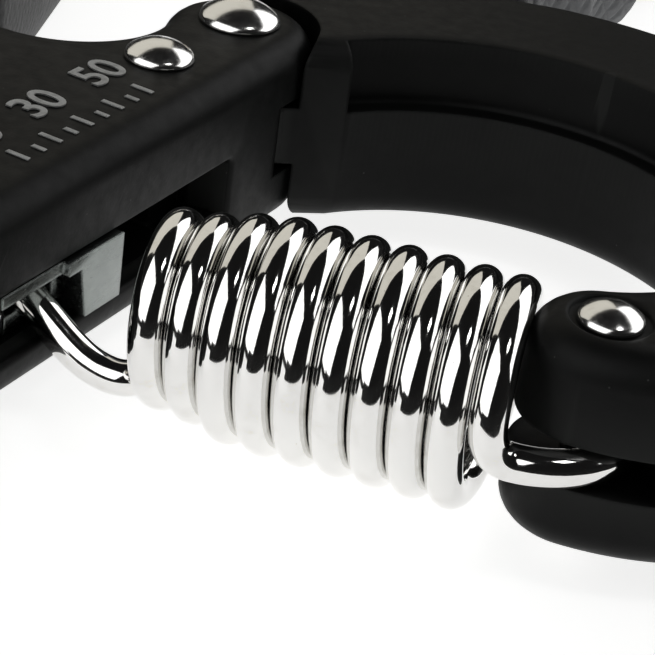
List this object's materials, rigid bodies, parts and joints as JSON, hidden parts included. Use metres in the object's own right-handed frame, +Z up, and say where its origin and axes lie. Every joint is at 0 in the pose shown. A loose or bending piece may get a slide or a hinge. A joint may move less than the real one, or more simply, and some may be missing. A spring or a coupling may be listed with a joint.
{
  "type": "hand grip strengthener",
  "caption": "Hand grip strengthener: two levers on a pivot rivet, close-wound tension spring, and a knob-driven carriage that sets the effort.",
  "frame": {"origin": "centre of the bounding box in plan, at the plane the grips lie on", "axes": "+X along the spring towards the clevis pin, +Y from the spring end towards the handle ends, +Z up"},
  "size_m": [0.1168, 0.1644, 0.0226],
  "materials": {
    "nylon": "glass-filled nylon, semi-matt black, fine grain",
    "soft_grip": "moulded soft grip, matt dark grey",
    "grip_panel": "textured grey grip panel",
    "cap_plastic": "grey end cap, satin",
    "steel_screw": "zinc-plated screw steel",
    "print_white": "white raised marks",
    "chrome": "bright chrome-plated steel",
    "washer_steel": "plain steel washer",
    "bronze": "sintered bronze",
    "rod_steel": "zinc-plated threaded rod",
    "carriage_steel": "satin nickel-plated steel",
    "clip_steel": "dark spring steel"
  },
  "bodies": {
    "palm_lever": {"palm_frame": "nylon", "palm_grip": "soft_grip", "palm_pad": "grip_panel", "palm_end_cap": "cap_plastic", "palm_cap_screw": "steel_screw", "scale_marks": "print_white", "pivot_rivet": "chrome", "pivot_washer_upper": "washer_steel", "pivot_washer_lower": "washer_steel", "frame_rivet": "chrome", "arm_screw_front": "steel_screw", "arm_screw_rear": "steel_screw", "rod_bushing_front": "bronze", "rod_bushing_rear": "bronze", "thrust_washer": "washer_steel"},
    "finger_lever": {"finger_frame": "nylon", "finger_grip": "soft_grip", "finger_pad": "grip_panel", "finger_end_cap": "cap_plastic", "finger_cap_screw": "steel_screw", "finger_arm_screw": "steel_screw", "pivot_bushing": "bronze"},
    "clevis_link": {"clevis_pin": "chrome", "clevis_pin_clip": "clip_steel"},
    "adjuster": {"adjusting_rod": "rod_steel", "adjusting_knob": "nylon", "knob_cap": "cap_plastic", "rod_clip": "clip_steel"},
    "carriage": {"carriage_nut": "carriage_steel", "hook_pin": "chrome"},
    "spring_left": {"spring_left": "chrome"},
    "spring_right": {"spring_right": "chrome"}
  },
  "joints": [
    {"name": "squeeze", "type": "hinge", "parent": "palm_lever", "child": "finger_lever", "pos_m": [-0.00251, -0.01946, 0.0113], "axis": [0, 0, 1], "range_deg": [0, 17], "stiffness_Nm_per_rad": 8},
    {"name": "carriage_travel", "type": "slide", "parent": "palm_lever", "child": "carriage", "axis": [0.225, 0.9744, 0], "range_m": [0, 0.016]},
    {"name": "knob_turn", "type": "hinge", "parent": "palm_lever", "child": "adjuster", "pos_m": [-0.01969, -0.07564, 0.0104], "axis": [0.225, 0.9744, 0], "range_deg": [0, 3600.5]},
    {"name": "pin_swing", "type": "hinge", "parent": "finger_lever", "child": "clevis_link", "pos_m": [0.03651, -0.05364, 0.0113], "axis": [0, 0, 1], "range_deg": [-21, 1]},
    {"name": "spring_swing", "type": "hinge", "parent": "clevis_link", "child": "spring_right", "pos_m": [0.03651, -0.05364, 0.0113], "axis": [0, 0, 1], "range_deg": [-4.1, 0.5]},
    {"name": "spring_stretch", "type": "slide", "parent": "spring_right", "child": "spring_left", "axis": [-0.9983, -0.0575, 0], "range_m": [0, 0.0106], "deforming": ["spring_left"]}
  ],
  "couplings": [
    {"joint": "knob_turn", "follows": "carriage_travel", "rad_per_m": 3927},
    {"joint": "pin_swing", "follows": "carriage_travel", "rad_per_m": -22.741},
    {"joint": "spring_swing", "follows": "squeeze", "ratio": -0.2366},
    {"joint": "spring_stretch", "follows": "squeeze", "m_per_rad": 0.035143}
  ]
}
